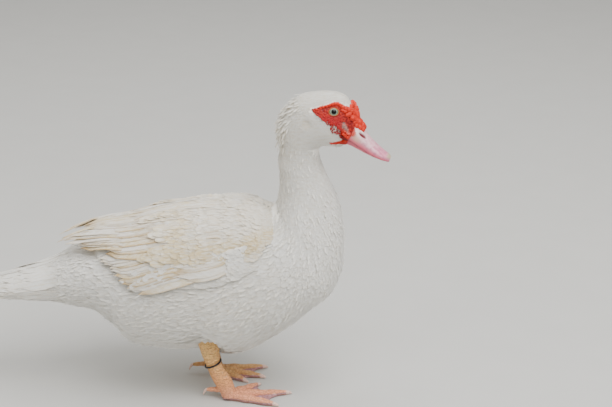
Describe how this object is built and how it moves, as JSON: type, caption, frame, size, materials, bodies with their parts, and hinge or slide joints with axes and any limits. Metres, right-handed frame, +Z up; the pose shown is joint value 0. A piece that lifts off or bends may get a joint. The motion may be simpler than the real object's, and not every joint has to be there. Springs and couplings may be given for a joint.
{
  "type": "muscovy duck",
  "caption": "White muscovy duck standing on both webbed feet, head slightly turned, wings folded, with red bare face skin, pink bill and a black leg ring.",
  "frame": {"origin": "middle of the bounding box's base, on the plane that the soles stand on", "axes": "+X from the tail to the bill, +Y to the bird's left side, +Z up"},
  "size_m": [0.5091, 0.1728, 0.3717],
  "materials": {
    "white_plumage": "small white body feathers",
    "cream_quills": "flight and tail feathers, stained cream",
    "red_caruncle": "moist folded bare skin",
    "pink_bill": "satin horn",
    "orange_leg": "scaly dull skin",
    "pale_claw": "satin horn",
    "grey_eye": "wet and clear",
    "black_band": "smooth moulded ring"
  },
  "bodies": {
    "root": {"torso": "white_plumage", "neck": "white_plumage", "head": "white_plumage", "wing_right": "cream_quills", "wing_left": "cream_quills", "tail": "cream_quills", "face_right": "red_caruncle", "face_left": "red_caruncle", "bill_knob": "red_caruncle", "bill_upper": "pink_bill", "bill_lower": "pink_bill", "leg_right": "orange_leg", "leg_left": "orange_leg", "foot_right": "orange_leg", "foot_left": "orange_leg", "claw_outer_right": "pale_claw", "claw_middle_right": "pale_claw", "claw_inner_right": "pale_claw", "claw_hallux_right": "pale_claw", "claw_outer_left": "pale_claw", "claw_middle_left": "pale_claw", "claw_inner_left": "pale_claw", "claw_hallux_left": "pale_claw", "eye_right": "grey_eye", "eye_left": "grey_eye", "leg_band": "black_band"}
  },
  "joints": []
}
